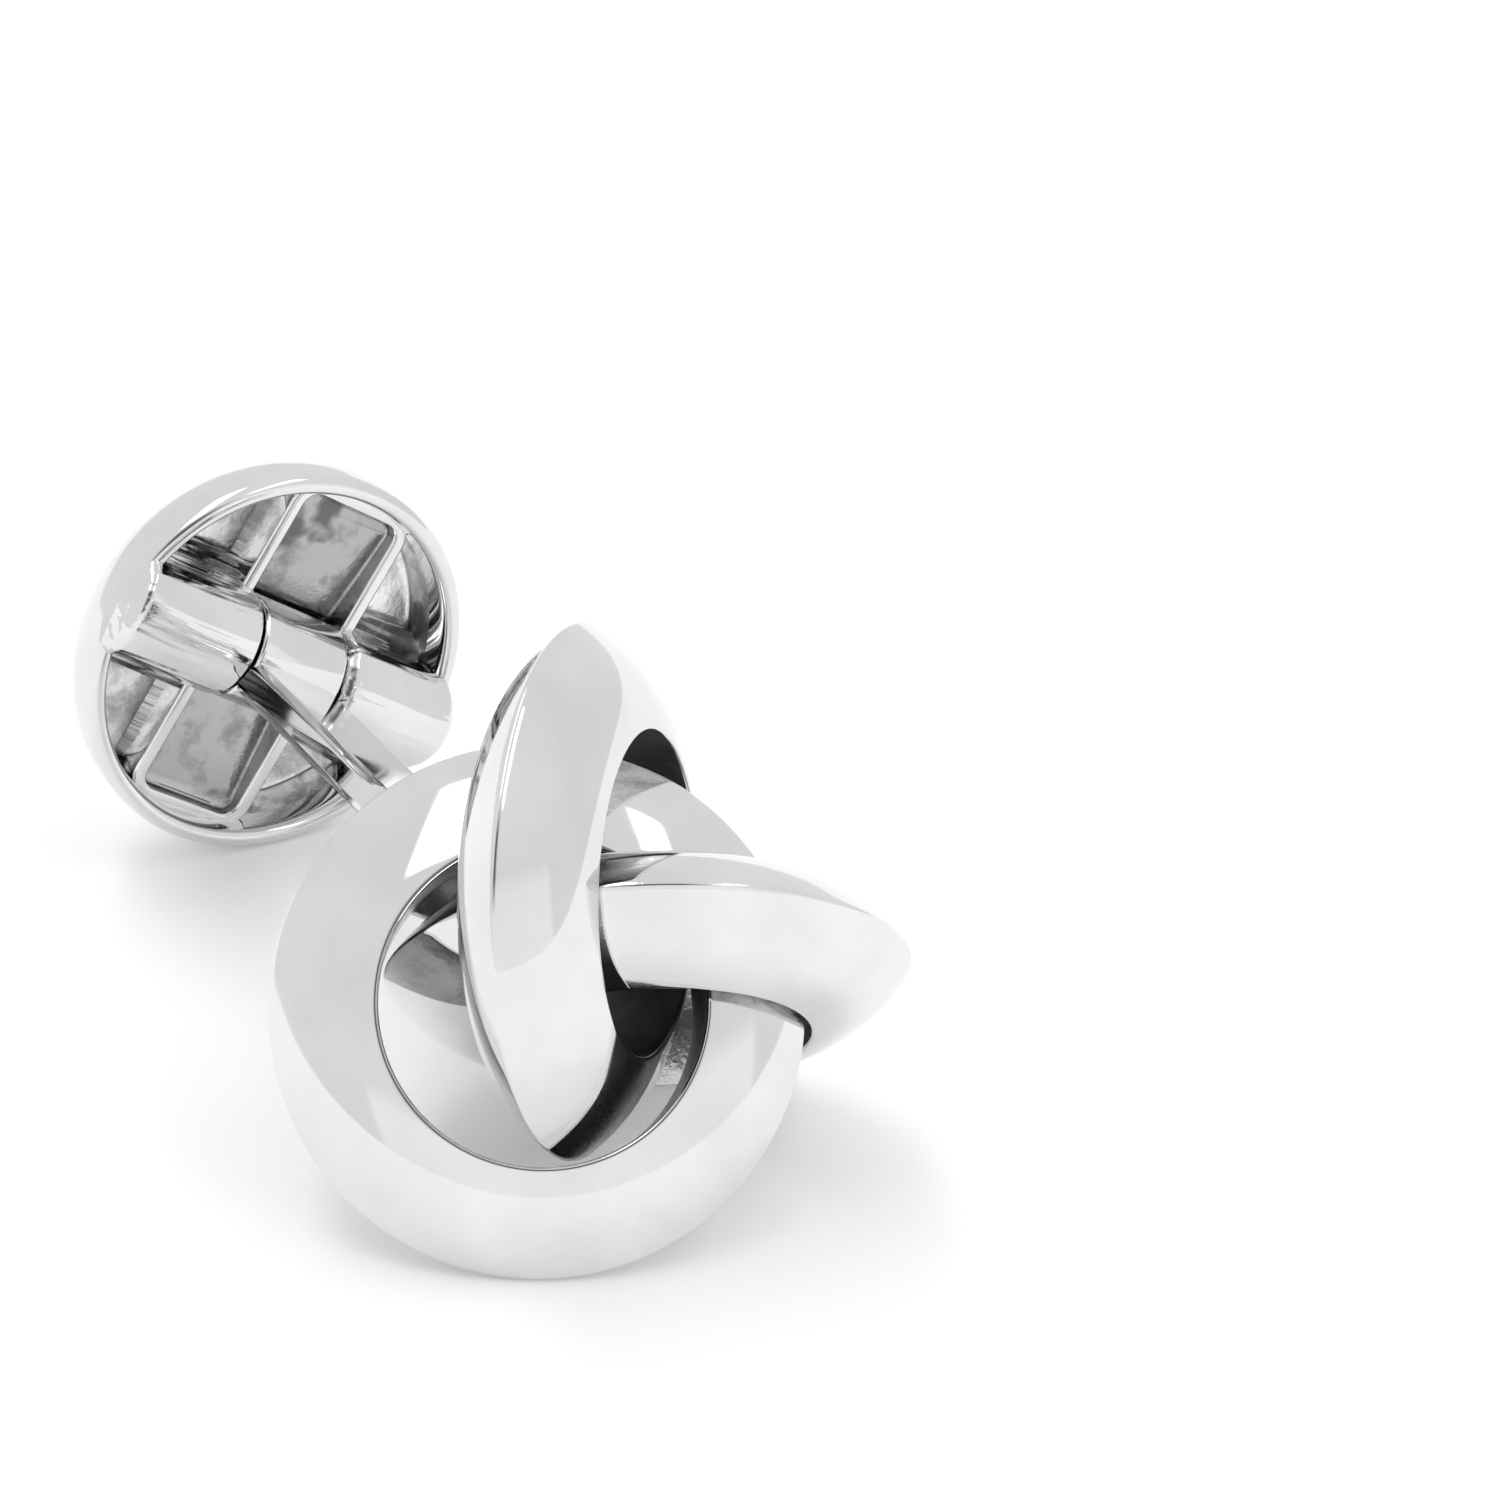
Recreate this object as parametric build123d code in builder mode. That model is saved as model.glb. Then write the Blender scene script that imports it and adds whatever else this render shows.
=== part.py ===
from build123d import *

import os
from math import asin, cos, degrees, hypot, radians, sin, sqrt

# Knot cufflink: three interlinked rings on a flat post, with a swivelling round toggle.
# Millimetres, +Z up. The origin is the middle of the post's grip, where the cuff sits.
# +Y runs along the floor from the knot towards the toggle. The cufflink lies as it rests
# on a table: two of its rings and the toggle's side touch the table.

# Knot rings
ring_radius = 7.0        # outer ridge of each ring
hole_radius = 4.2        # flat inner wall
ring_width = 3.7         # width of the inner wall
flank_bulge = 0.34       # how far a flank swells past the straight line to the ridge
ridge_round = 0.22       # rounding of the outer ridge
lip_round = 0.12         # rounding where a flank meets the inner wall
ring_lean_angle = 45.0   # between a ring's axis and the post

# Each ring, as shares of the ring radius: the turn of its lean around the post, how far
# its centre stands off the post's axis, the turn from its lean to that offset, and its
# shift along the post. The three were set by hand, so the turns aren't quite even.
ring_table = [
    # name, turn, offset, offset turn, shift
    ("ring_front", 0.0, 0.270, 87.0, -0.034),
    ("ring_left", 103.4, 0.276, 100.2, 0.040),
    ("ring_right", 236.2, 0.288, 90.4, -0.006),
]

# Post
post_offset_x = 0.07     # the post's axis, off the knot's centre
post_offset_y = 0.28
post_turn_angle = -29.0  # from the front ring's lean to the strip's width
hinge_distance = 18.6    # knot centre to hinge axis, along the post
grip_middle = 11.8       # knot centre to the middle of the grip
strip_width = 3.1
strip_thickness = 1.1
strip_round = 0.32
strip_shift = 0.45       # from the eye's middle to the strip's, across the strip
eye_radius = 1.6         # rounded end that the pin runs through

foot_spacing = 4.4       # between the middles of the two end blocks
foot_top = 5.95          # outer faces of the end blocks, from the knot centre
block_length = 1.25      # along the crossbar
block_width = 2.1        # across the crossbar
block_depth = 2.1        # towards the knot, before it is seated
block_round = 0.2
bar_depth = 1.5          # crossbar between the blocks
bar_thickness = 1.75
bar_end = 0.25           # straight end of the crossbar, below its blocks' faces
flare_length = 2.1       # from the crossbar up to the strip
flare_inset = 0.04       # flare's end inside the strip's edges
flare_swell = 0.02       # and proud of its faces
strip_overlap = 0.4      # length of the strip inside the flare
seat_gap = 0.05          # hairline between the foot and the rings it is seated on

# Toggle
toggle_radius = 6.0
rim_top = -0.6           # rim's edge on the knot's side, from the hinge axis
rim_wall = 0.6           # wall between pockets and outer side
rim_draft = 0.15         # how far the inner wall leans in at its foot
dome_crown = 3.2         # crown of the outer face
dome_edge = 2.35         # where the dome meets the rounded shoulder
shoulder_inset = 1.4     # from the toggle's side in to where the dome ends
pocket_floor = 1.5
barrel_radius = 1.65     # around the hinge axis
barrel_inset = 0.06      # barrel's ends inside the toggle's side
foot_flare = 0.55        # how far the barrel's foot widens on each side
foot_depth = 1.0         # from the hinge axis down to the foot's full width
slot_width = 3.4
slot_reach = 5.0         # half length of the slot
slot_corner = 0.45       # rounding of the slot's four corners
slot_wall = 0.45
slot_wall_top = 0.1
slot_end_floor = 0.5     # the slot's floor at its ends
slot_mid_floor = 0.95    # and beside the eye
barrel_gap = 0.13        # between eye and barrel halves, each side
eye_room = 0.2           # around the eye
wall_overlap = 0.1       # how far the pieces inside the rim run into its wall
floor_overlap = 0.2      # and into the floor
cut_over = 1.0           # how far a cut runs past the surface it opens

# Hinge pin
pin_radius = 0.5
pin_play = 0.05          # between pin and eye
pin_fit = 0.02           # between pin and barrel
pin_reach = 4.6          # half length of the pin

# Sizes that follow
shoulder_radius = toggle_radius - shoulder_inset
dome_rise = dome_crown - dome_edge
dome_round = (shoulder_radius**2 + dome_rise**2) / (2 * dome_rise)
dome_slope = shoulder_radius / dome_round
shoulder_round = (toggle_radius - shoulder_radius) / (1 - dome_slope)
side_end = dome_edge - shoulder_round * sqrt(1 - dome_slope**2)
side_start = rim_top + rim_wall / 2
inner_radius = toggle_radius - rim_wall
post_offset = Vector(post_offset_x, post_offset_y, 0)


def turned(angle, length=1.0, height=0.0):
    """A vector across the post at this turn, in the knot's own frame."""
    return Vector(length * cos(radians(angle)), length * sin(radians(angle)), height)


def ring_place(row):
    """Centre and axis of one ring in the knot's own frame, with the post along +Z."""
    name, turn, offset, offset_turn, shift = row
    centre = turned(turn + offset_turn, offset * ring_radius, shift * ring_radius)
    axis = turned(turn, sin(radians(ring_lean_angle)), cos(radians(ring_lean_angle)))
    return centre, axis


def flank_point(share):
    """Radius and height of a point of the swollen flank, from the lip to the ridge."""
    depth = ring_radius - hole_radius
    height = ring_width / 2
    slope = hypot(depth, height)
    swell = flank_bulge * 4 * share * (1 - share)
    radius = hole_radius + depth * share + height / slope * swell
    return radius, height * (1 - share) + depth / slope * swell


def reach_down(centre, axis, outline, down):
    """How far a turned shape reaches in one direction."""
    lean = axis.dot(down)
    across = sqrt(max(0.0, 1 - lean * lean))
    return max(centre.dot(down) + radius * across + abs(height * lean) for radius, height in outline)


def rest_direction():
    """The direction that points down when two rings and the toggle's side touch the table."""
    flank = [flank_point(share / 24) for share in range(25)]
    touching = [ring_place(row) + (flank,) for row in ring_table if row[0] != "ring_left"]
    button = [(toggle_radius, (side_end - side_start) / 2)]
    button_middle = Vector(0, 0, hinge_distance + (side_start + side_end) / 2)
    touching.append((post_offset + button_middle, Vector(0, 0, 1), button))
    turn, dip = 30.0, 2.0
    for step in range(30):
        values = []
        for extra_turn, extra_dip in ((0, 0), (0.01, 0), (0, 0.01)):
            a = turn + extra_turn
            b = radians(dip + extra_dip)
            down = turned(a, cos(b), sin(b))
            reach = [reach_down(c, n, outline, down) for c, n, outline in touching]
            values.append((reach[0] - reach[1], reach[0] - reach[2]))
        f1, f2 = values[0]
        a11, a21 = (values[1][0] - f1) / 0.01, (values[1][1] - f2) / 0.01
        a12, a22 = (values[2][0] - f1) / 0.01, (values[2][1] - f2) / 0.01
        size = a11 * a22 - a12 * a21
        turn -= max(-8, min(8, (f1 * a22 - f2 * a12) / size))
        dip -= max(-8, min(8, (a11 * f2 - a21 * f1) / size))
    return turned(turn, cos(radians(dip)), sin(radians(dip)))


# The knot's own frame, as it lies: the table's up, seen from the knot, sets the turn.
down = rest_direction()
up = down * -1
forward = (Vector(0, 0, 1) - up * up.Z).normalized()
side = forward.cross(up)


def to_table(v):
    """A direction of the knot's frame as it lies on the table."""
    return Vector(v.dot(side), v.dot(forward), v.dot(up))


post_axis = to_table(Vector(0, 0, 1))
knot_centre = post_axis * -grip_middle - to_table(post_offset)
post_origin = post_axis * -grip_middle
post_plane = Plane(origin=post_origin, x_dir=to_table(turned(post_turn_angle)), z_dir=post_axis)
hinge_plane = Plane(post_axis * (hinge_distance - grip_middle), post_plane.x_dir, post_axis)
print("post rises", round(degrees(asin(post_axis.Z)), 2), "degrees")


def ring_section_plane(row):
    """Plane of a ring's section: X outwards from the ring's axis, Y along the axis."""
    centre, axis = ring_place(row)
    outwards = turned(row[1] + 90)
    return Plane(
        origin=knot_centre + to_table(centre),
        x_dir=to_table(outwards),
        z_dir=to_table(outwards.cross(axis)),
    )


os.makedirs("parts", exist_ok=True)


def ring_face(grow=0.0):
    """Section of a ring: a flat inner wall and two swollen flanks that meet in a ridge.

    With some growth it is the section of the seat that leaves a hairline around the ring.
    """
    depth = ring_radius - hole_radius
    height = ring_width / 2
    slope = hypot(depth, height)
    lip = (hole_radius - grow, height + grow * (slope + height) / depth)
    ridge = (ring_radius + grow * slope / height, 0)
    mid_radius, mid_height = flank_point(0.5)
    mid = (mid_radius + grow * height / slope, mid_height + grow * depth / slope)
    with BuildSketch() as outline:
        with BuildLine():
            upper = ThreePointArc(lip, mid, ridge)
            lower = ThreePointArc(upper @ 1, (mid[0], -mid[1]), (lip[0], -lip[1]))
            Line(lower @ 1, upper @ 0)
        make_face()
        if grow == 0:
            fillet(outline.vertices().sort_by(Axis.X)[-1], ridge_round)
            fillet(outline.vertices().sort_by(Axis.X)[:2], lip_round)
    return outline.sketch


ring_outline = ring_face()
seat_outline = ring_face(seat_gap)
rings = []
for row in ring_table:
    section_plane = ring_section_plane(row)
    with BuildPart() as ring:
        with BuildSketch(section_plane):
            add(ring_outline)
        revolve(axis=Axis(section_plane.origin, section_plane.y_dir))
    ring.part.label = row[0]
    export_step(ring.part, f"parts/{row[0]}.step")
    rings.append(ring.part)
    print(row[0], "volume", round(ring.part.volume, 1))

# The post: a crossbar with a block at each end, flared up to a flat strip with an eye.
strip_origin = post_origin + post_plane.y_dir * strip_shift
front_plane = Plane(strip_origin, x_dir=post_plane.x_dir, z_dir=post_plane.y_dir * -1)
side_plane = Plane(strip_origin, x_dir=post_plane.y_dir, z_dir=post_plane.x_dir)
strip_start = foot_top + flare_length - strip_overlap
with BuildPart() as post:
    # Crossbar and flare seen from the wide side: X along the crossbar, Y along the post.
    half_bar = foot_spacing / 2
    half_neck = strip_width / 2 - flare_inset
    bend = 1 - cos(radians(45))
    with BuildSketch(front_plane):
        with BuildLine():
            left_flare = ThreePointArc(
                (-half_bar, foot_top - bar_end),
                (-half_neck - (half_bar - half_neck) * bend, foot_top + flare_length * bend * 0.9),
                (-half_neck, foot_top + flare_length),
            )
            top = Line(left_flare @ 1, (half_neck, foot_top + flare_length))
            right_flare = ThreePointArc(
                top @ 1,
                (half_neck + (half_bar - half_neck) * bend, foot_top + flare_length * bend * 0.9),
                (half_bar, foot_top - bar_end),
            )
            right_end = Line(right_flare @ 1, (half_bar, foot_top - bar_depth))
            under = Line(right_end @ 1, (-half_bar, foot_top - bar_depth))
            Line(under @ 1, left_flare @ 0)
        make_face()
    extrude(amount=bar_thickness, both=True)
    # The same seen from the narrow side: the bar thins towards the strip.
    with BuildSketch(side_plane):
        with BuildLine():
            half_thick = bar_thickness / 2
            half_thin = strip_thickness / 2 + flare_swell
            left_taper = ThreePointArc(
                (-half_thick, foot_top),
                (-half_thin - (half_thick - half_thin) * bend, foot_top + flare_length * bend),
                (-half_thin, foot_top + flare_length),
            )
            neck = Line(left_taper @ 1, (half_thin, foot_top + flare_length))
            right_taper = ThreePointArc(
                neck @ 1,
                (half_thin + (half_thick - half_thin) * bend, foot_top + flare_length * bend),
                (half_thick, foot_top),
            )
            right_side = Line(right_taper @ 1, (half_thick, foot_top - bar_depth))
            base = Line(right_side @ 1, (-half_thick, foot_top - bar_depth))
            Line(base @ 1, left_taper @ 0)
        make_face()
    extrude(amount=foot_spacing, both=True, mode=Mode.INTERSECT)
    # Blocks at the crossbar's ends.
    with BuildSketch(post_plane.offset(foot_top)):
        with Locations((0, strip_shift)):
            with GridLocations(foot_spacing, 1, 2, 1):
                RectangleRounded(block_length, block_width, block_round)
    extrude(amount=-block_depth)
    # Flat strip, its width along the hinge axis.
    with BuildSketch(post_plane.offset(strip_start)):
        with Locations((0, strip_shift)):
            RectangleRounded(strip_width, strip_thickness, strip_round)
    extrude(amount=hinge_distance - strip_start)
    # Eye around the pin.
    eye_plane = Plane(hinge_plane.origin, x_dir=hinge_plane.z_dir, z_dir=hinge_plane.x_dir)
    with BuildSketch(eye_plane):
        Circle(eye_radius)
    extrude(amount=strip_width / 2, both=True)
    # Seats on the rings.
    for row in ring_table:
        section_plane = ring_section_plane(row)
        with BuildSketch(section_plane):
            add(seat_outline)
        revolve(axis=Axis(section_plane.origin, section_plane.y_dir), mode=Mode.SUBTRACT)
    # Bore for the pin.
    with BuildSketch(eye_plane):
        Circle(pin_radius + pin_play)
    extrude(amount=strip_width, both=True, mode=Mode.SUBTRACT)
post.part.label = "post"
export_step(post.part, "parts/post.step")

# The toggle: a domed button, dished on the knot's side, with the hinge barrel across it.
across_plane = Plane(hinge_plane.origin, x_dir=hinge_plane.x_dir, z_dir=hinge_plane.y_dir * -1)
barrel_plane = Plane(hinge_plane.origin, x_dir=hinge_plane.y_dir, z_dir=hinge_plane.x_dir)
bed_depth = pocket_floor + floor_overlap

# Foot of the barrel, flared down to the floor between the rims.
foot_half = barrel_radius + foot_flare
with BuildPart() as barrel_foot:
    with BuildSketch(barrel_plane):
        with BuildLine():
            right_foot = TangentArc((barrel_radius, 0), (foot_half, foot_depth), tangent=(0, 1))
            left_foot = TangentArc((-barrel_radius, 0), (-foot_half, foot_depth), tangent=(0, 1))
            Polyline(right_foot @ 1, (foot_half, bed_depth), (-foot_half, bed_depth), left_foot @ 1)
            Line(left_foot @ 0, right_foot @ 0)
        make_face()
    extrude(amount=toggle_radius, both=True)
    with BuildSketch(hinge_plane):
        Circle(inner_radius + wall_overlap)
    extrude(amount=bed_depth, mode=Mode.INTERSECT)

# What the slot takes away: shallow at its ends and deeper beside the eye.
with BuildPart() as slot_room:
    with BuildSketch(barrel_plane):
        with BuildLine():
            Polyline(
                (-slot_reach, -barrel_radius - cut_over),
                (-slot_reach, slot_end_floor),
                (-eye_radius, slot_mid_floor),
                (eye_radius, slot_mid_floor),
                (slot_reach, slot_end_floor),
                (slot_reach, -barrel_radius - cut_over),
                close=True,
            )
        make_face()
    extrude(amount=slot_width, both=True)
    with BuildSketch(hinge_plane):
        RectangleRounded(slot_width, 2 * slot_reach, slot_corner)
    extrude(amount=toggle_radius, both=True, mode=Mode.INTERSECT)

with BuildPart() as toggle:
    # Hinge barrel, its ends rounded to the button's side.
    with BuildSketch(barrel_plane):
        Circle(barrel_radius)
        with Locations((0, side_end + barrel_radius)):
            Rectangle(2 * (barrel_radius + cut_over), 2 * barrel_radius, mode=Mode.SUBTRACT)
    extrude(amount=toggle_radius + cut_over, both=True)
    with BuildSketch(hinge_plane):
        Circle(toggle_radius - barrel_inset)
    extrude(amount=barrel_radius + cut_over, both=True, mode=Mode.INTERSECT)
    add(barrel_foot.part)
    # Raised bed of the slot.
    with BuildSketch(hinge_plane.offset(slot_wall_top)):
        Circle(inner_radius + wall_overlap)
        Rectangle(slot_width + 2 * slot_wall, 2 * toggle_radius, mode=Mode.INTERSECT)
    extrude(amount=bed_depth - slot_wall_top)
    add(slot_room.part, mode=Mode.SUBTRACT)
    # Button, half section: X outwards from the post's axis, Y away from the knot.
    with BuildSketch(across_plane):
        with BuildLine():
            half_way = shoulder_radius / 2
            dome = ThreePointArc(
                (0, dome_crown),
                (half_way, dome_crown - dome_round + sqrt(dome_round**2 - half_way**2)),
                (shoulder_radius, dome_edge),
            )
            shoulder = TangentArc(dome @ 1, (toggle_radius, side_end), tangent=dome % 1)
            side_wall = Line(shoulder @ 1, (toggle_radius, side_start))
            rim = ThreePointArc(
                side_wall @ 1,
                (toggle_radius - rim_wall / 2, rim_top),
                (inner_radius, side_start),
            )
            inner_wall = Line(rim @ 1, (inner_radius - rim_draft, pocket_floor))
            floor = Line(inner_wall @ 1, (0, pocket_floor))
            Line(floor @ 1, dome @ 0)
        make_face()
    revolve(axis=Axis(hinge_plane.origin, hinge_plane.z_dir))
    # Room for the eye between the barrel's halves.
    with BuildSketch(barrel_plane):
        Circle(eye_radius + eye_room)
    extrude(amount=strip_width / 2 + barrel_gap, both=True, mode=Mode.SUBTRACT)
    with BuildSketch(hinge_plane.offset(slot_wall_top)):
        Rectangle(strip_width + 2 * barrel_gap, 2 * (barrel_radius + cut_over))
    extrude(amount=-(barrel_radius + cut_over + slot_wall_top), mode=Mode.SUBTRACT)
    # Blind bore for the pin in both halves.
    with BuildSketch(barrel_plane):
        Circle(pin_radius + pin_fit)
    extrude(amount=pin_reach, both=True, mode=Mode.SUBTRACT)
toggle.part.label = "toggle"
export_step(toggle.part, "parts/toggle.step")

# The pin, fast in the barrel and free in the eye.
with BuildPart() as hinge_pin:
    with BuildSketch(barrel_plane):
        Circle(pin_radius)
    extrude(amount=pin_reach - pin_fit, both=True)
hinge_pin.part.label = "hinge_pin"
export_step(hinge_pin.part, "parts/hinge_pin.step")

for piece in (post.part, toggle.part, hinge_pin.part):
    print(piece.label, "volume", round(piece.volume, 1), "solids", len(piece.solids()))
for other in rings:
    print("  gap post to", other.label, round(post.part.distance_to(other), 3))
for a, b in ((0, 1), (1, 2), (2, 0)):
    print("  gap", rings[a].label, rings[b].label, round(rings[a].distance_to(rings[b]), 3))
print("  gap post to toggle", round(post.part.distance_to(toggle.part), 3))
print("  gap post to pin", round(post.part.distance_to(hinge_pin.part), 3))
print("  gap toggle to pin", round(toggle.part.distance_to(hinge_pin.part), 3))
lowest = {p.label: round(p.bounding_box().min.Z, 3) for p in rings + [post.part, toggle.part]}
print("  lowest points", lowest)
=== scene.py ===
# %% [markdown]
# This lesson dresses a silver knot cufflink. The solids come from the CAD model and are already in
# their right places. Here they get the fine surfaces, the rounded edges and the finish that
# polished silver needs, because a mirror shows every flat of a coarse mesh.

# %% Load the solids
from math import cos, pi, radians, sin, sqrt

import bmesh
import bpy
from mathutils import Matrix, Vector


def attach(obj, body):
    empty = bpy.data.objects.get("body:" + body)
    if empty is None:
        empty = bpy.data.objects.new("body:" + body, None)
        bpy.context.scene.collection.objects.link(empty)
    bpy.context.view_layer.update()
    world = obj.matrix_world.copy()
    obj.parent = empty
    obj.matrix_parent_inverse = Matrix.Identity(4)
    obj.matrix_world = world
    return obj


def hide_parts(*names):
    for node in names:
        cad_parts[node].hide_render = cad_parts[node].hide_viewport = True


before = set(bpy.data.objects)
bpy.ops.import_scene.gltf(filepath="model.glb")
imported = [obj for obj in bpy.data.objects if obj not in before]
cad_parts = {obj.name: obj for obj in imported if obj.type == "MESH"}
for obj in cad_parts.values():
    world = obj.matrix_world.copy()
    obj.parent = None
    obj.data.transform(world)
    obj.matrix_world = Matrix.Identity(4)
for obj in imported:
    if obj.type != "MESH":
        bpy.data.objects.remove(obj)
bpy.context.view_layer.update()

print("solids:", sorted(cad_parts))

# %% [markdown]
# The cufflink is small, so all its numbers are easier to read in millimetres. A piece is made
# round its own origin, in millimetres, and is then laid in its place in metres. The place is given
# by a point and two directions, the same ones that the solid was made with. The pieces of the
# toggle are made round the hinge, which lies on the post's own axis.

# %% Lay a piece in its place
MM = 0.001
HINGE = 18.6  # from the knot's middle to the hinge


def place(middle, x_dir, z_dir):
    """The matrix that takes a piece made in millimetres to its place in metres."""
    z = Vector(z_dir).normalized()
    x = Vector(x_dir)
    x = (x - z * x.dot(z)).normalized()
    turn = Matrix((x, z.cross(x), z)).transposed().to_4x4()
    return Matrix.Scale(MM, 4) @ Matrix.Translation(Vector(middle)) @ turn


post_place = place((0, -11.79893, 0.159), (0.84644, -0.00717, -0.53243), (0, 0.99991, -0.01347))
ring_places = {
    "ring_front": place(
        (-1.39428, -12.04769, -0.63809), (-0.87608, -0.0065, -0.48212), (0.34094, 0.6987, -0.62895)
    ),
    "ring_left": place(
        (0.03555, -11.49038, 2.27533), (-0.26601, 0.01299, 0.96388), (-0.68163, 0.70451, -0.19761)
    ),
    "ring_right": place(
        (1.99531, -11.85094, -0.58344), (0.88803, -0.0062, -0.45974), (0.32512, 0.7155, 0.61835)
    ),
}
print("the hinge lies at, mm:", [round(c / MM, 2) for c in post_place @ Vector((0, 0, HINGE))])

# %% [markdown]
# The camera stands about 12 cm away and looks down at 30 degrees, as in the photograph, with a long
# lens. A long lens keeps the rings near their true proportions.

# %% Camera
TABLE_TOP = -6.1

camera = bpy.data.objects.new("camera", bpy.data.cameras.new("camera"))
bpy.context.scene.collection.objects.link(camera)
camera.data.lens = 100.8
camera.data.sensor_width = 36
camera.data.clip_start = 0.002
camera.data.clip_end = 5
camera.matrix_world = Matrix((
    (0.85344, 0.19856, -0.48188, -0.0477658),
    (-0.51556, 0.45716, -0.72471, -0.0905643),
    (0.0764, 0.86693, 0.49253, 0.0591176),
    (0, 0, 0, 1),
))
bpy.context.scene.camera = camera
print("camera height over the table, mm:", round(camera.location.z / MM - TABLE_TOP, 1))

# %% [markdown]
# A finish is a small graph of nodes. Each of these helpers adds one or two nodes and links them,
# so that a finish can be read as a few lines. All the patterns read the piece's own coordinates,
# and so they stay on the piece when it turns on its hinge.

# %% Helpers for the finishes
def new_metal(name):
    """A metal's node tree, its shader, and the piece's own coordinates."""
    material = bpy.data.materials.new(name)
    material.use_nodes = True
    tree = material.node_tree
    shader = tree.nodes["Principled BSDF"]
    shader.inputs["Metallic"].default_value = 1.0
    return material, tree, shader, tree.nodes.new("ShaderNodeTexCoord").outputs["Object"]


def noise(tree, spot, waves, detail, rough=0.5, stretch=None):
    """A noise of so many waves per millimetre."""
    tex = tree.nodes.new("ShaderNodeTexNoise")
    tex.inputs["Scale"].default_value = waves / MM
    tex.inputs["Detail"].default_value = detail
    tex.inputs["Roughness"].default_value = rough
    if stretch:
        mapping = tree.nodes.new("ShaderNodeMapping")
        mapping.inputs["Scale"].default_value = stretch
        tree.links.new(spot, mapping.inputs["Vector"])
        spot = mapping.outputs["Vector"]
    tree.links.new(spot, tex.inputs["Vector"])
    return tex.outputs["Fac"]


def ranged(tree, value, given, wanted):
    """Takes a value from the given range to the wanted one, and keeps it inside."""
    node = tree.nodes.new("ShaderNodeMapRange")
    for name, number in zip(("From Min", "From Max", "To Min", "To Max"), (*given, *wanted)):
        node.inputs[name].default_value = number
    tree.links.new(value, node.inputs["Value"])
    return node.outputs["Result"]


def worked(tree, kind, a, b=0):
    """One sum of two values; either may be a number."""
    node = tree.nodes.new("ShaderNodeMath")
    node.operation = kind
    for socket, value in zip(node.inputs, (a, b)):
        if isinstance(value, (int, float)):
            socket.default_value = value
        else:
            tree.links.new(value, socket)
    return node.outputs[0]


def bumped(tree, height, depth, normal):
    """Makes a height into a bump, so many millimetres deep, and feeds it to a normal."""
    bump = tree.nodes.new("ShaderNodeBump")
    bump.inputs["Distance"].default_value = depth * MM
    tree.links.new(height, bump.inputs["Height"])
    tree.links.new(bump.outputs["Normal"], normal)
    return bump


def tinted(tree, value, dark, light, shader):
    """Two tones of the metal, mixed by a value."""
    mix = tree.nodes.new("ShaderNodeMix")
    mix.data_type = "RGBA"
    mix.inputs[6].default_value = (*dark, 1)
    mix.inputs[7].default_value = (*light, 1)
    tree.links.new(value, mix.inputs["Factor"])
    tree.links.new(mix.outputs[2], shader.inputs["Base Color"])


print("helpers:", [made.__name__ for made in (noise, ranged, worked, bumped, tinted)])

# %% [markdown]
# Silver that is polished to a mirror has hardly any colour of its own. What tells it from a
# perfect mirror is small: soft waves left by the polishing wheel, hair scratches, faint smudges
# that blur the reflections, and a few pits from the casting. Each of them is a noise in the
# material, at its own scale. The barrel also keeps shallow marks of the file along the hinge.

# %% Polished silver
SILVER_DARK, SILVER_LIGHT = (0.74, 0.74, 0.745), (0.81, 0.81, 0.805)
SCRATCH_ROUGHNESS = 0.012
SCRATCH_SHARE, PIT_SHARE = 0.012, 0.6  # of a wave's depth
HINGE_SLOPE = radians(32.2)  # how far the hinge's own axis is turned about Y


def polished_silver(name, wave=0.0012, smudge=0.10, file_marks=0.0):
    """Mirror metal; waves and file marks are so many millimetres deep, smudges so rough."""
    material, tree, shader, spot = new_metal(name)
    haze = noise(tree, spot, 0.35, 4)
    scratches = noise(tree, spot, 1.4, 6, rough=0.7, stretch=(1, 1, 14))
    tinted(tree, ranged(tree, haze, (0.35, 0.65), (0, 1)), SILVER_DARK, SILVER_LIGHT, shader)
    hazy = ranged(tree, haze, (0.4, 0.75), (0.035, smudge))
    scratched = ranged(tree, scratches, (0.55, 0.75), (0, SCRATCH_ROUGHNESS))
    tree.links.new(worked(tree, "ADD", hazy, scratched), shader.inputs["Roughness"])
    waves = noise(tree, spot, 0.5, 2)
    pits = ranged(tree, noise(tree, spot, 2.6, 2), (0.73, 0.78), (0, -1))
    height = worked(tree, "ADD", waves, worked(tree, "MULTIPLY", pits, PIT_SHARE))
    height = worked(tree, "ADD", height, worked(tree, "MULTIPLY", scratches, SCRATCH_SHARE))
    bump = bumped(tree, height, wave, shader.inputs["Normal"])
    if file_marks:
        mapping = tree.nodes.new("ShaderNodeMapping")
        mapping.vector_type = "TEXTURE"
        mapping.inputs["Rotation"].default_value = (0, HINGE_SLOPE, 0)
        mapping.inputs["Scale"].default_value = (9, 1, 1)
        tree.links.new(spot, mapping.inputs["Vector"])
        marks = noise(tree, mapping.outputs["Vector"], 1.5, 2)
        bumped(tree, marks, file_marks, bump.inputs["Normal"])
    return material


ring_silver = polished_silver("ring_silver")
toggle_silver = polished_silver("toggle_silver", wave=0.002, smudge=0.14)
barrel_silver = polished_silver("barrel_silver", wave=0.002, smudge=0.14, file_marks=0.14)
post_silver = polished_silver("post_silver", wave=0.0015, smudge=0.16)
polished = (ring_silver, toggle_silver, barrel_silver, post_silver)
print("polished:", [metal.name for metal in polished])

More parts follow.
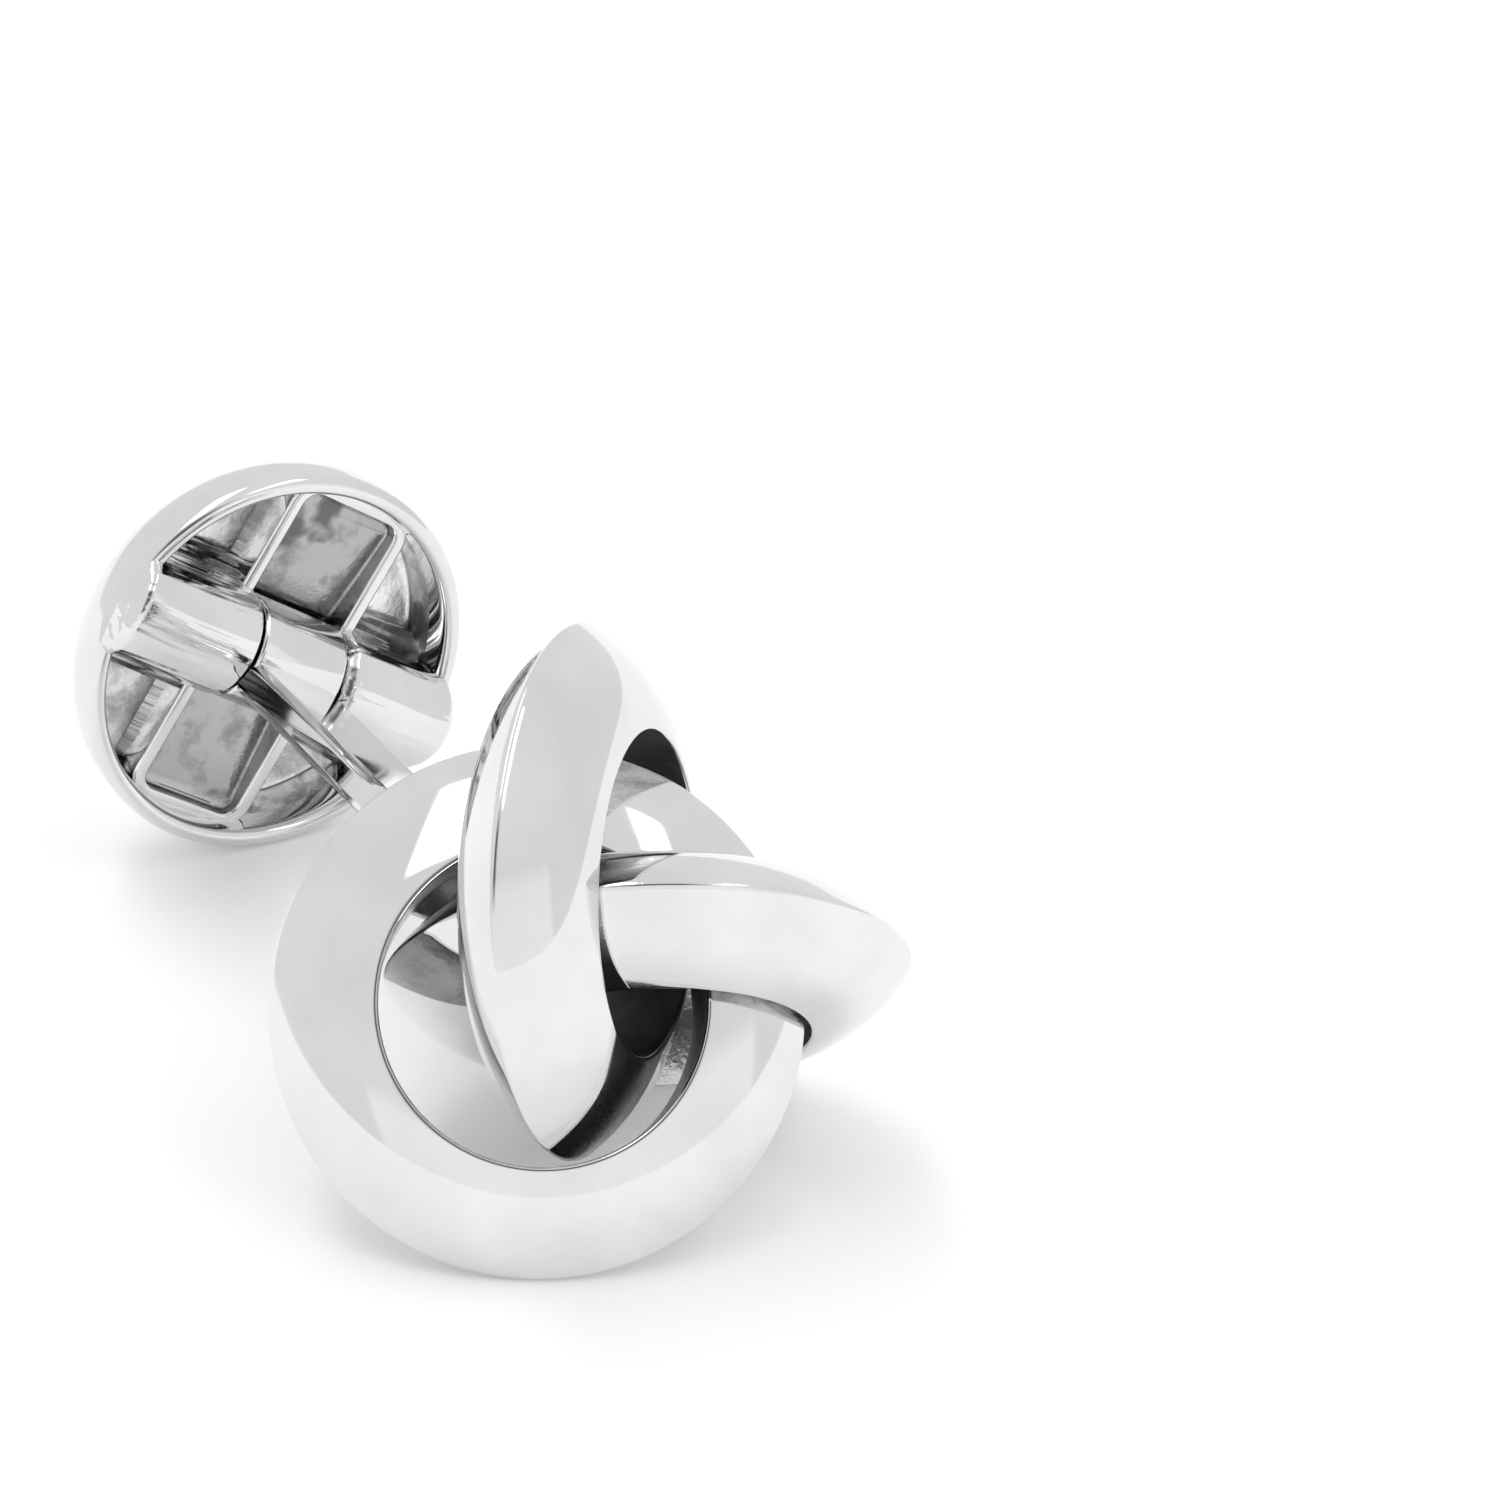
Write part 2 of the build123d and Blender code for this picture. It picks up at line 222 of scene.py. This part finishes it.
# %% [markdown]
# Inside the toggle the polishing wheel doesn't reach. There the casting keeps its skin: duller,
# darker, and grainy, with spots of tarnish. The holes of the rings are duller too, and their
# colour is painted darker deep in the knot, as painted shade, following the distance from its
# middle.

# %% Cast silver in the recesses
def cast_silver(name, dark, light, shade_middle=None):
    """Dull metal; with a middle given, in metres, it paints shade that darkens towards that point.
    """
    material, tree, shader, spot = new_metal(name)
    cloud = noise(tree, spot, 0.9, 5, rough=0.6)
    grain = noise(tree, spot, 9.0, 3)
    if shade_middle:
        # painted shade: the colour darkens towards the given middle, deep in the knot
        far = tree.nodes.new("ShaderNodeVectorMath")
        far.operation = "DISTANCE"
        tree.links.new(spot, far.inputs[0])
        far.inputs[1].default_value = shade_middle
        spots_and_shade = ranged(tree, far.outputs["Value"], (3 * MM, 5.6 * MM), (0, 1))
        cloudy = ranged(tree, cloud, (0.3, 0.5), (0.7, 1))
    else:
        spots_and_shade = ranged(tree, noise(tree, spot, 0.6, 3), (0.58, 0.68), (1, 0))
        cloudy = ranged(tree, cloud, (0.33, 0.5), (0.45, 1))
    tone = worked(tree, "MULTIPLY", cloudy, spots_and_shade)
    tinted(tree, tone, dark, light, shader)
    dull = ranged(tree, tone, (0.2, 1), (0.42, 0.16))
    grainy = ranged(tree, grain, (0.3, 0.7), (0, 0.06))
    tree.links.new(worked(tree, "ADD", dull, grainy), shader.inputs["Roughness"])
    lumps = worked(tree, "MULTIPLY", cloud, 2.0)
    height = worked(tree, "ADD", lumps, worked(tree, "MULTIPLY", grain, 0.25))
    bumped(tree, height, 0.02, shader.inputs["Normal"])
    return material


toggle_cast = cast_silver("toggle_cast", (0.28, 0.28, 0.285), (0.90, 0.90, 0.895))
slot_cast = cast_silver("slot_cast", (0.20, 0.20, 0.205), (0.46, 0.46, 0.455))
# The rings' holes and the post's hidden foot: dull cast metal, with painted shade darkening towards
# the knot's middle.
hole_cast_and_shade = cast_silver(
    "hole_cast_and_shade", (0.09, 0.09, 0.095), (0.80, 0.80, 0.795), shade_middle=(0, -0.0118, 0.0004)
)
print("cast:", [metal.name for metal in (toggle_cast, slot_cast, hole_cast_and_shade)])

# %% [markdown]
# A finished piece takes over from its solid: it stands where the solid stands, rides on the same
# body, and takes the finishes it is given. Most pieces are rounded by a subdivision
# surface. Where the rounded edges are in the mesh already, weighted normals keep the shading of
# the large flats even instead.

# %% Hand a mesh over as a piece
def hand_over(bm, name, where, materials, node, body, smooth):
    """Lays the mesh in its place and makes it the piece that is seen instead of a solid."""
    bmesh.ops.transform(bm, matrix=where, verts=bm.verts)
    mesh = bpy.data.meshes.new(name)
    bm.to_mesh(mesh)
    bm.free()
    mesh.shade_smooth()
    for material in materials:
        mesh.materials.append(material)
    piece = bpy.data.objects.new(name, mesh)
    bpy.context.scene.collection.objects.link(piece)
    if smooth:
        rounding = piece.modifiers.new("rounding", "SUBSURF")
        rounding.levels = smooth
        rounding.render_levels = smooth
    else:
        weight = piece.modifiers.new("flats", "WEIGHTED_NORMAL")
        weight.keep_sharp = False
        weight.weight = 80
    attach(piece, body)
    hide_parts(node)
    print(name, "has about", len(mesh.polygons) * 4 ** smooth * 2, "triangles")


def toggle_piece(bm, name, materials, smooth):
    """Hands over a piece of the toggle, made round the hinge."""
    bmesh.ops.translate(bm, vec=(0, 0, HINGE), verts=bm.verts)
    hand_over(bm, name, post_place, materials, "toggle", "toggle_end", smooth)


# %% [markdown]
# A knot ring is a turned shape, so it is made as a jeweller's lathe would make it: half of its
# section is drawn with a few points, mirrored, and spun once round the ring's axis. The flat inner
# wall, the two swollen flanks and the ridge where they meet come from the section. Points close to
# a corner keep it crisp when the surface is rounded later. The inner wall keeps the dull skin, with
# painted shade that darkens towards the knot's middle.

# %% Turn the rings
RING_HOLE = 4.2


def spun(points, steps, closed=True):
    """Spins a section of radius and height round the Z axis."""
    bm = bmesh.new()
    verts = [bm.verts.new((radius, 0, height)) for radius, height in points]
    ends = zip(verts, verts[1:] + verts[:1]) if closed else zip(verts, verts[1:])
    line = verts + [bm.edges.new(pair) for pair in ends]
    bmesh.ops.spin(
        bm, geom=line, cent=(0, 0, 0), axis=(0, 0, 1), angle=2 * pi, steps=steps, use_merge=True
    )
    bmesh.ops.remove_doubles(bm, verts=bm.verts, dist=1e-4)
    bmesh.ops.recalc_face_normals(bm, faces=bm.faces)
    return bm


flank = [
    (RING_HOLE, 0.9), (RING_HOLE, 1.7), (RING_HOLE, 1.765), (4.23, 1.825), (4.29, 1.84),
    (4.38, 1.82), (4.88, 1.68), (5.45, 1.43), (6.0, 1.08), (6.5, 0.63), (6.9, 0.145), (7.0, 0.0),
]
section = flank + [(radius, -height) for radius, height in flank[-2::-1]]
for name, where in ring_places.items():
    ring = spun(section, 48)
    for face in ring.faces:
        # the inner wall's faces take the dull metal with painted shade
        face.material_index = int(all(v.co.xy.length < RING_HOLE + 0.01 for v in face.verts))
    finishes = [ring_silver, hole_cast_and_shade]
    hand_over(ring, name + "_polished", where, finishes, name, "knot", smooth=3)

# %% [markdown]
# The toggle's button is turned as well: a gently domed outer face, a round shoulder, a short side
# and a rolled rim. Inside it is dished. Only the inside of the dish keeps the dull cast skin.

# %% Turn the button
CAST_RADIUS = 5.37  # just inside the rim's wall
CAST_LOW, CAST_HIGH = 0.1, 1.95  # from below the rolled rim to the floor

button_points = [
    (0, 3.2), (1.5, 3.11), (3.0, 2.84), (4.0, 2.56), (4.6, 2.35), (5.03, 2.12), (5.4, 1.8),
    (5.7, 1.4), (5.89, 0.95), (5.99, 0.5), (6.0, 0.2), (6.0, -0.2), (5.98, -0.38), (5.9, -0.53),
    (5.77, -0.6), (5.63, -0.6), (5.5, -0.53), (5.42, -0.38), (5.4, -0.2), (5.36, 0.3),
    (5.27, 1.3), (5.25, 1.44), (5.15, 1.5), (2.6, 1.5), (2.3, 1.56), (2.05, 1.85), (1.8, 1.9),
    (0, 1.9),
]
button = spun(button_points, 72, closed=False)
for face in button.faces:
    middle = face.calc_center_median()
    cast = middle.xy.length < CAST_RADIUS and CAST_LOW < middle.z < CAST_HIGH
    face.material_index = int(cast)
toggle_piece(button, "toggle_button", [toggle_silver, toggle_cast], smooth=2)

# %% [markdown]
# Some shapes are drawn: a line of edges is drawn on by one loop, and its new points are put where
# they belong. An end of the hinge barrel is closed like that. Its loops shrink over a quarter
# circle, which rolls the edge over, and then run to the middle.

# %% Draw a line on, loop by loop
BARREL_RADIUS = 1.65


def drawn(bm, edges, change):
    """Draws a line on by one loop and puts its new points where change says."""
    made = bmesh.ops.extrude_edge_only(bm, edges=edges)["geom"]
    for v in (g for g in made if isinstance(g, bmesh.types.BMVert)):
        v.co = change(v.co)
    return [g for g in made if isinstance(g, bmesh.types.BMEdge)]


def rolled_end(bm, edges, end_x, way, roll):
    """Closes an arch at end_x; way is the side that it looks to, roll is its edge's radius."""
    sizes = []
    for angle in (15, 30, 45, 60, 75, 90):
        inward, back = 1 - cos(radians(angle)), 1 - sin(radians(angle))
        sizes.append((1 - roll * inward / BARREL_RADIUS, roll * back))
    before = 1.0
    for size, back in sizes + [(0.7, 0), (0.4, 0), (0, 0)]:
        share = size / before
        before = size
        edges = drawn(bm, edges, lambda p: Vector((
            end_x(p.y * share, p.z) - way * back,
            p.y * share,
            p.z * share if p.z < 0 else p.z,
        )))


print("barrel radius, mm:", BARREL_RADIUS)

# %% [markdown]
# The hinge barrel lies across the dish in two halves. Each half is an arch with a flared foot: one
# point is swung round the hinge axis, its ends are drawn down into the floor, and the line is
# drawn sideways both ways. The outer end follows the round of the button's side. The halves
# differ: one inner edge is crisp and the other was polished far rounder.

# %% Draw the barrel's halves
ARCH_X = 3  # where the arch is drawn first, between the two ends of a half
INNER_X = 1.7
OUTER_ROLL = 0.3
CRISP_ROLL, ROUND_ROLL = 0.12, 0.5
foot_points = [(1.69, 0.306), (1.809, 0.592), (1.997, 0.837), (2.2, 1.0), (2.2, 1.7)]


def outer_x(y, z):
    """Where the button's side ends the barrel; its foot ends inside the rim's wall."""
    radius = 5.93 - 0.5 * min(1, max(0, z) / 0.4)
    return sqrt(radius**2 - y**2)


barrel = bmesh.new()
for side, roll in ((-1, CRISP_ROLL), (1, ROUND_ROLL)):
    start = barrel.verts.new((ARCH_X, BARREL_RADIUS, 0))
    arch = bmesh.ops.spin(
        barrel, geom=[start], cent=(0, 0, 0), axis=(1, 0, 0), angle=-pi, steps=36
    )
    feet = [start, arch["geom_last"][0]]
    for y, z in foot_points:
        feet = [bmesh.ops.extrude_vert_indiv(barrel, verts=[foot])["verts"][0] for foot in feet]
        for v in feet:
            v.co = (ARCH_X, y if v.co.y > 0 else -y, z)
    barrel.edges.new(feet)
    line = [e for e in barrel.edges if all(abs(v.co.x - ARCH_X) < 1e-6 for v in e.verts)]
    outer = drawn(barrel, line, lambda p: Vector((outer_x(p.y, p.z) - OUTER_ROLL, p.y, p.z)))
    rolled_end(barrel, outer, outer_x, 1, OUTER_ROLL)
    inner = drawn(barrel, line, lambda p: Vector((INNER_X + roll, p.y, p.z)))
    rolled_end(barrel, inner, lambda y, z: INNER_X, -1, roll)
    bmesh.ops.remove_doubles(barrel, verts=barrel.verts, dist=1e-4)
    if side < 0:
        bmesh.ops.scale(barrel, vec=(-1, 1, 1), verts=barrel.verts)
bmesh.ops.recalc_face_normals(barrel, faces=barrel.faces)
print("barrel faces", len(barrel.faces), "open edges", sum(e.is_boundary for e in barrel.edges))
toggle_piece(barrel, "toggle_barrel", [barrel_silver], smooth=1)

# %% [markdown]
# Across the barrel runs a slot, so that the strip can fold flat into the toggle. Its outline is
# one rounded rectangle. The same outline can be grown or shrunk a little and set at another
# height, which is all that the slot's raised frame and its floor need.

# %% Outline the slot
SLOT_HALF, SLOT_REACH, SLOT_CORNER = 1.7, 5.0, 0.45
TOGGLE_INSIDE = 5.5
EYE_HOLLOW = 1.8
side_y = (0, 0.4, 0.8, 1.1, 1.3, 1.45, 1.6, 1.8, 2.4, 3.4, 4.1)


def slot_outline(grow, height):
    """A rounded rectangle round the slot, as points; height is a number or a function of y."""
    radius = max(0.05, SLOT_CORNER + grow)
    corner_x, corner_y = SLOT_HALF - SLOT_CORNER, SLOT_REACH - SLOT_CORNER
    quarter = [
        (corner_x + radius * cos(radians(a)), corner_y + radius * sin(radians(a)))
        for a in range(0, 91, 15)
    ]
    half = [(SLOT_HALF + grow, y) for y in side_y] + quarter + [(0.8, SLOT_REACH + grow)]
    outline = half + [(-x, y) for x, y in half[::-1]]
    outline += [(x, -y) for x, y in outline[-2:0:-1]]
    points = []
    for x, y in outline:
        far = max(1, sqrt(x * x + y * y) / TOGGLE_INSIDE)
        z = height if isinstance(height, (int, float)) else height(y)
        points.append((x / far, y / far, z))
    return points


def floor_z(y):
    """The slot's floor: a slope down to the hinge and the hollow for the eye."""
    slope = 0.95 - 0.45 * max(0, abs(y) - 1.6) / 3.4
    return max(slope, sqrt(max(0, EYE_HOLLOW**2 - y * y)))


print("floor under the eye and at the slot's end, mm:", floor_z(0), round(floor_z(SLOT_REACH), 2))

# %% [markdown]
# The bed of the slot has a raised frame with a bright rounded top, and a dull floor that slopes
# down to the hinge, with a round hollow under the strip's eye. Neighbouring outlines are joined by
# faces. The underside and the floor are closed by faces that reach straight across, because one
# large face with many corners would only be right if it were flat.

# %% Cut the slot's bed
def under_z(y):
    """The hidden underside, deeper below the hollow."""
    return 2.05 if abs(y) < 2 else 1.56


def closed_across(loop):
    """Closes a loop with faces that each reach straight across the slot."""
    far = len(loop) // 2
    return [
        bed.faces.new((loop[i], loop[i + 1], loop[far - i - 1], loop[far - i]))
        for i in range(-(far // 2), far // 2)
    ]


bed = bmesh.new()
loops = []
for grow, height in (
    (-0.4, under_z),
    (0.45, 1.53), (0.45, 0.19), (0.42, 0.125), (0.36, 0.1), (0.09, 0.1), (0.03, 0.125), (0, 0.19),
    (0, lambda y: floor_z(y) - 0.12), (-0.04, lambda y: floor_z(y) - 0.04), (-0.12, floor_z),
):
    loops.append([bed.verts.new(point) for point in slot_outline(grow, height)])
count = len(loops[0])
for step, (low, high) in enumerate(zip(loops, loops[1:])):
    for i in range(count):
        j = (i + 1) % count
        face = bed.faces.new((low[i], low[j], high[j], high[i]))
        face.material_index = int(step >= len(loops) - 4)
closed_across(loops[0])
for face in closed_across(loops[-1]):
    face.material_index = 1
bmesh.ops.recalc_face_normals(bed, faces=bed.faces)
print("bed faces", len(bed.faces), "open edges", sum(e.is_boundary for e in bed.edges))
toggle_piece(bed, "toggle_bed", [toggle_silver, slot_cast], smooth=0)

# %% [markdown]
# The post starts as a crossbar behind the knot. One rectangle is drawn upwards step by step: it
# narrows in a flare, and becomes the flat strip that goes through the cuff. Its long edges are
# then rolled over, a block is set on each end of the crossbar, and a round eye takes the pin at
# the other end. Below the flare the metal is hidden in the knot and is dull, with painted shade.

# %% Draw the post
STRIP_Y = 0.45  # how far the strip stands off the eye's middle
EYE_RADIUS, EYE_WIDTH = 1.6, 3.1
# below this height the post is dull, with painted shade darkening towards the knot's middle
DULL_AND_SHADED_BELOW = 4.6
post_steps = [  # height, half width, half thickness
    (4.45, 2.2, 0.875), (5.7, 2.2, 0.875), (5.82, 2.08, 0.875), (5.95, 1.98, 0.87),
    (6.15, 1.87, 0.77), (6.4, 1.75, 0.69), (6.7, 1.67, 0.64), (7.1, 1.59, 0.6),
    (7.55, 1.535, 0.575), (8.05, 1.515, 0.56), (8.5, 1.55, 0.55), (18.5, 1.55, 0.55),
]


def edges_among(bm, verts):
    """The edges between these points, in the mesh's own order."""
    members = set(verts)
    return [e for e in bm.edges if all(v in members for v in e.verts)]


def rolled_over(bm, edges, radius, segments):
    """Rounds edges to a radius, in so many steps."""
    bmesh.ops.bevel(
        bm, geom=edges, offset=radius, offset_type="OFFSET", segments=segments,
        profile=0.5, affect="EDGES", material=-1,
    )


post = bmesh.new()
low_z, half_x, half_y = post_steps[0]
corners = ((-1, -1), (1, -1), (1, 1), (-1, 1))
corner = [post.verts.new((x * half_x, y * half_y, low_z)) for x, y in corners]
loop = [post.edges.new(pair) for pair in zip(corner, corner[1:] + corner[:1])]
bmesh.ops.contextual_create(post, geom=loop)
for z, half_x, half_y in post_steps[1:]:
    loop = drawn(post, loop, lambda p: Vector((
        half_x if p.x > 0 else -half_x, half_y if p.y > 0 else -half_y, z
    )))
bmesh.ops.contextual_create(post, geom=loop)
long_edges = [e for e in post.edges if abs(e.verts[0].co.z - e.verts[1].co.z) > 0.01]
rolled_over(post, long_edges, 0.28, 5)
bmesh.ops.translate(post, vec=(0, STRIP_Y, 0), verts=post.verts)
for side in (-1, 1):
    block = bmesh.ops.create_cube(post, size=1)["verts"]
    bmesh.ops.scale(post, vec=(1.25, 2.1, 2.1), verts=block)
    bmesh.ops.translate(post, vec=(2.2 * side, STRIP_Y, 4.9), verts=block)
    rolled_over(post, edges_among(post, block), 0.2, 4)
eye = bmesh.ops.create_cone(
    post, cap_ends=True, segments=96, radius1=EYE_RADIUS, radius2=EYE_RADIUS, depth=EYE_WIDTH
)["verts"]
bmesh.ops.rotate(post, cent=(0, 0, 0), matrix=Matrix.Rotation(pi / 2, 3, "Y"), verts=eye)
bmesh.ops.translate(post, vec=(0, 0, HINGE), verts=eye)
rims = [e for e in edges_among(post, eye) if abs(e.verts[0].co.x - e.verts[1].co.x) < 0.1]
rolled_over(post, rims, 0.14, 4)
bmesh.ops.recalc_face_normals(post, faces=post.faces)
# faces below that height take the dull metal with painted shade
for face in post.faces:
    face.material_index = int(face.calc_center_median().z < DULL_AND_SHADED_BELOW)
finishes = [post_silver, hole_cast_and_shade]
hand_over(post, "post_polished", post_place, finishes, "post", "knot", smooth=0)

# %% [markdown]
# The pin is hidden in the hinge, so its solid is good enough. It only gets its metal.

# %% The pin's metal
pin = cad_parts["hinge_pin"]
pin.data.materials.clear()
pin.data.materials.append(post_silver)
print("pin shown:", not pin.hide_render)

# %% [markdown]
# The cufflink lies on a white table. The table glows a little by itself, so that it stays as pale
# as an overexposed white ground, and still takes the soft shadow where the metal touches it.

# %% Table
table = bpy.data.materials.new("table_white")
table.use_nodes = True
paint = table.node_tree.nodes["Principled BSDF"].inputs
paint["Base Color"].default_value = (0.93, 0.93, 0.93, 1)
paint["Roughness"].default_value = 0.6
paint["Specular IOR Level"].default_value = 0.2
paint["Emission Color"].default_value = (1, 1, 1, 1)
paint["Emission Strength"].default_value = 0.13
flat = bmesh.new()
bmesh.ops.create_grid(flat, x_segments=1, y_segments=1, size=1.5)
bmesh.ops.translate(flat, vec=(0, 0, TABLE_TOP * MM), verts=flat.verts)
mesh = bpy.data.meshes.new("table")
flat.to_mesh(mesh)
flat.free()
mesh.materials.append(table)
floor = bpy.data.objects.new("table", mesh)
bpy.context.scene.collection.objects.link(floor)
print("table at height, mm:", TABLE_TOP)

# %% [markdown]
# Silver shows its surroundings more than itself, so the light is built as a picture that the metal
# mirrors. A patch of light is a rectangle round one direction, with soft edges: the world's shader
# asks how far the looked-at direction goes along the patch's own directions.

# %% Patches in the surroundings
world = bpy.data.worlds.new("studio")
bpy.context.scene.world = world
world.use_nodes = True
tree = world.node_tree
sky = tree.nodes["Background"]
look = tree.nodes.new("ShaderNodeTexCoord").outputs["Generated"]


def along(direction):
    """How far the looked-at direction goes along this one."""
    node = tree.nodes.new("ShaderNodeVectorMath")
    node.operation = "DOT_PRODUCT"
    tree.links.new(look, node.inputs[0])
    node.inputs[1].default_value = direction
    return node.outputs["Value"]


def heading(azimuth, elevation):
    """The direction at these angles, in degrees."""
    a, e = radians(azimuth), radians(elevation)
    return Vector((cos(a) * cos(e), sin(a) * cos(e), sin(e)))


def patch(towards, across, wide, high, soft):
    """One inside a rectangle before the eye, nought outside, with a soft edge between."""
    ahead = worked(tree, "MAXIMUM", along(towards), 0.001)
    sides = []
    for axis, (low, top) in ((across, wide), (towards.cross(across), high)):
        off = worked(tree, "SUBTRACT", worked(tree, "DIVIDE", along(axis), ahead), (low + top) / 2)
        reach = (top - low) / 2
        edge = (reach - soft, reach + soft)
        sides.append(ranged(tree, worked(tree, "ABSOLUTE", off), edge, (1, 0)))
    return worked(tree, "MULTIPLY", *sides)


print("straight up is", [round(c, 2) for c in heading(0, 90)])

# %% [markdown]
# The cufflink lies in a white tent, so nearly everything that the silver mirrors is an even light
# grey. Four patches give the metal its life: a wide soft window overhead, a narrow strip of light
# opposite, a paler wall low at the camera's side, and the dark shape of the camera, which draws
# the thin dark lines along the ridges of the rings.

# %% Light
TENT = 0.85
patches = {  # towards, across, width and height on either side, soft edge, brightness
    "window": (heading(0, 90), heading(-27, 0), (-0.43, -0.16), (-0.3, 0.75), 0.04, 3.9),
    "strip": (heading(0, 90), heading(-27, 0), (0.44, 0.61), (-0.5, 0.31), 0.03, 3.6),
    "wall": (heading(-100, 12), heading(-10, 0), (-1.3, 1.3), (-0.3, 0.3), 0.08, 1.0),
    "camera": (heading(-116, 43), heading(-26, 0), (-0.3, 0.3), (-0.28, 0.3), 0.14, 0.15),
}
light = TENT
for *outline, level in patches.values():
    light = worked(tree, "ADD", light, worked(tree, "MULTIPLY", patch(*outline), level - TENT))
sky.inputs["Color"].default_value = (1, 1, 1, 1)
tree.links.new(light, sky.inputs["Strength"])
bpy.context.scene.view_settings.view_transform = "Standard"
print("patches", list(patches), "over a tent of", TENT)
